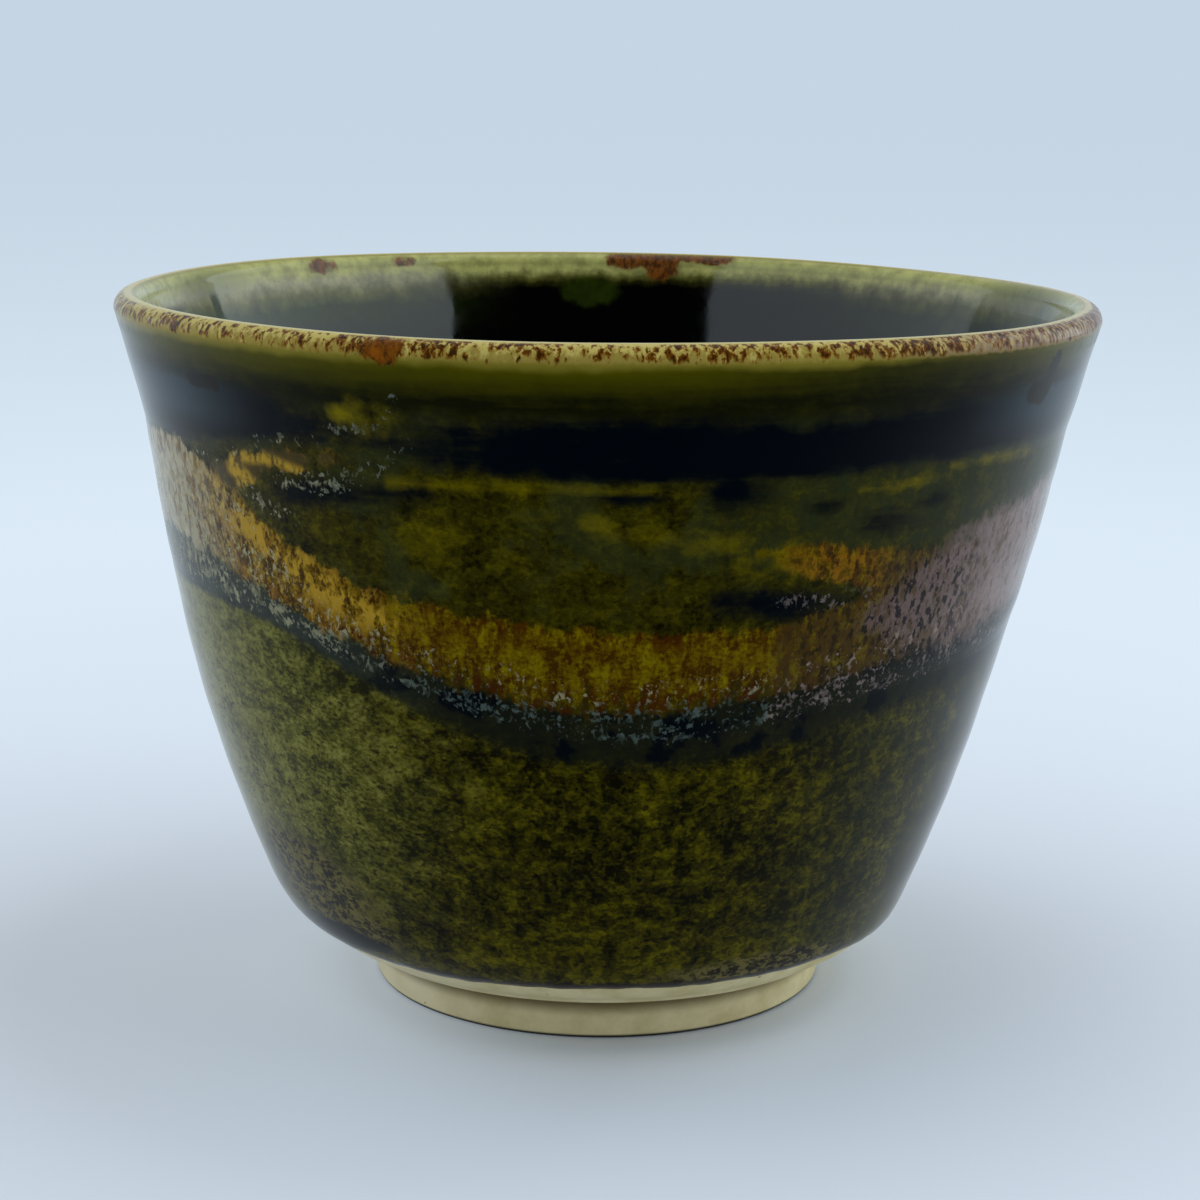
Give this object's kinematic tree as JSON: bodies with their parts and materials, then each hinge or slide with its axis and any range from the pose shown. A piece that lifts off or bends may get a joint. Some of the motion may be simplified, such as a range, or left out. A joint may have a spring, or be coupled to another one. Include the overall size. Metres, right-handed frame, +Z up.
{
  "type": "conical tea cup",
  "caption": "Handleless stoneware tea cup with a conical wall, a flared lip, a turned foot ring and layered poured glazes.",
  "frame": {"origin": "centre of the foot ring's bottom face, on the cup's axis", "axes": "+Z up along the cup's axis, -Y the front that the picture shows, +X to its right"},
  "size_m": [0.1, 0.1, 0.072],
  "materials": {
    "bare_clay": "bare fired stoneware, smooth turned, matt cream",
    "liner_glaze": "glossy clear olive green glaze",
    "olive_glaze": "glossy mottled olive glaze with dark flecks and a blue-black collar",
    "lip_glaze": "thin glossy cream glaze broken to rust brown",
    "ochre_glaze": "glossy streaked ochre glaze with pale blue crystals"
  },
  "bodies": {
    "root": {"foot_ring": "bare_clay", "clay_body": "bare_clay", "liner_glaze": "liner_glaze", "outer_glaze": "olive_glaze", "lip_glaze": "lip_glaze", "swag_glaze": "ochre_glaze", "branch_glaze": "ochre_glaze", "hook_glaze": "ochre_glaze"}
  },
  "joints": []
}
